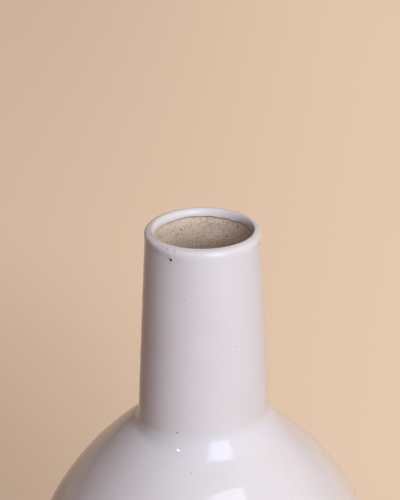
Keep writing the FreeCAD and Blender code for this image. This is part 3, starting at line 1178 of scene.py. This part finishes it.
WORLD_SEEN_LEFT = colour(0.36, 0.16, 0.08)
WORLD_SEEN_RIGHT = colour(0.25, 0.32, 0.40)
WORLD_BASE = colour(0.004, 0.003, 0.003)
WORLD_REACH = (-1.0, 1.0)

# Each side as (direction, colour). Its light fades out a right angle away from the direction, and
# the higher the falloff, the sooner
WORLD_FALLOFF = 1.5
WORLD_SIDES = [
    ((1.0, 1.0, 0.3), (1.0, 0.65, 0.39)),
    ((0.0, -1.0, 0.0), (0.20, 0.08, 0.12)),
]


def world():
    made = bpy.data.worlds.new("studio")
    bpy.context.scene.world = made
    tree = Tree(made)
    direction = tree.node("TexCoord", {}).outputs["Generated"]
    light = WORLD_BASE
    for axis, tint in WORLD_SIDES:
        towards = tree.node("VectorMath", {"operation": "DOT_PRODUCT"}, direction,
                            Vector(axis).normalized())
        facing = tree.math("MAXIMUM", towards.outputs["Value"], 0.0)
        share = tree.math("POWER", facing, WORLD_FALLOFF)
        light = tree.blend(1.0, light, tree.blend(share, BLACK, colour(*tint)), "ADD")
    across = tree.node("SeparateXYZ", {}, direction).outputs["X"]
    backdrop = tree.blend(tree.ramp(across, WORLD_REACH), WORLD_SEEN_LEFT, WORLD_SEEN_RIGHT)
    shown = tree.blend(seen_share(tree), light, backdrop)
    tree.node("OutputWorld", {}, tree.node("Background", {}, shown).outputs[0])


world()

# Lamps: a large softbox in front on the right, and a small lamp in front on the left

AIM = Vector((0, -0.025, 0.15))


def lamp(name, degrees, elevation, distance, width_share, tall_share, roll, radiance, tint,
         mirrored=True):
    """An area lamp aimed at the seam's front. Its radiance is what a mirror would show of it.

    Its width and height are shares of its distance.
    """
    width = width_share * distance
    tall = tall_share * distance
    angle = math.radians(degrees)
    rise = math.radians(elevation)
    away = Vector((math.sin(angle) * math.cos(rise), -math.cos(angle) * math.cos(rise),
                   math.sin(rise)))
    data = bpy.data.lights.new(name, "AREA")
    data.shape = "RECTANGLE"
    data.size = width
    data.size_y = tall
    data.energy = radiance * math.pi * width * tall
    data.color = tint
    made = link(name, data)
    made.location = AIM + away * distance
    made.rotation_mode = "QUATERNION"
    turned = Quaternion((0, 0, 1), math.radians(roll))
    made.rotation_quaternion = (-away).to_track_quat("-Z", "Y") @ turned
    made.visible_camera = False
    made.visible_glossy = mirrored


# The softbox is two lamps of one shape: one that the glaze mirrors, and behind it one that only
# lights. In one place they would lose light
SOFTBOX = {"degrees": 26.7, "elevation": 32.4, "width_share": 0.5654, "tall_share": 0.8962,
           "roll": -4.8}
SOFTBOX_MIRRORED = {"distance": 1.3, "radiance": 4.7, "tint": (0.67, 0.73, 0.90)}
SOFTBOX_LIGHT = {"distance": 2.4, "radiance": 3.1, "tint": (0.88, 1.0, 0.87), "mirrored": False}
SMALL_LAMP = {"degrees": -44, "elevation": 31, "distance": 1.2, "width_share": 0.07,
              "tall_share": 0.04, "roll": 0, "radiance": 45.0, "tint": (1.0, 0.98, 0.95)}
lamp("softbox", **SOFTBOX, **SOFTBOX_MIRRORED)
lamp("softbox_light", **SOFTBOX, **SOFTBOX_LIGHT)
lamp("small_lamp", **SMALL_LAMP)

# Camera, as fitted to the photograph: about 600 mm from the lip and looking 24 degrees down

CAMERA_PLACE = Vector((-0.00114, -0.5511, 0.4658))
CAMERA_PITCH = 23.953
CAMERA_ROLL = -0.3
SENSOR = 36.0
LENS = 112.75


def camera():
    data = bpy.data.cameras.new("camera")
    data.sensor_width = SENSOR
    data.lens = LENS
    data.clip_end = 4 * FLOOR_RADIUS
    made = link("camera", data)
    level = Quaternion((1, 0, 0), math.radians(90 - CAMERA_PITCH))
    roll = Quaternion((0, 0, 1), math.radians(CAMERA_ROLL))
    made.rotation_mode = "QUATERNION"
    made.rotation_quaternion = level @ roll
    made.location = CAMERA_PLACE
    bpy.context.scene.camera = made


camera()

bpy.context.scene.view_settings.view_transform = "Standard"
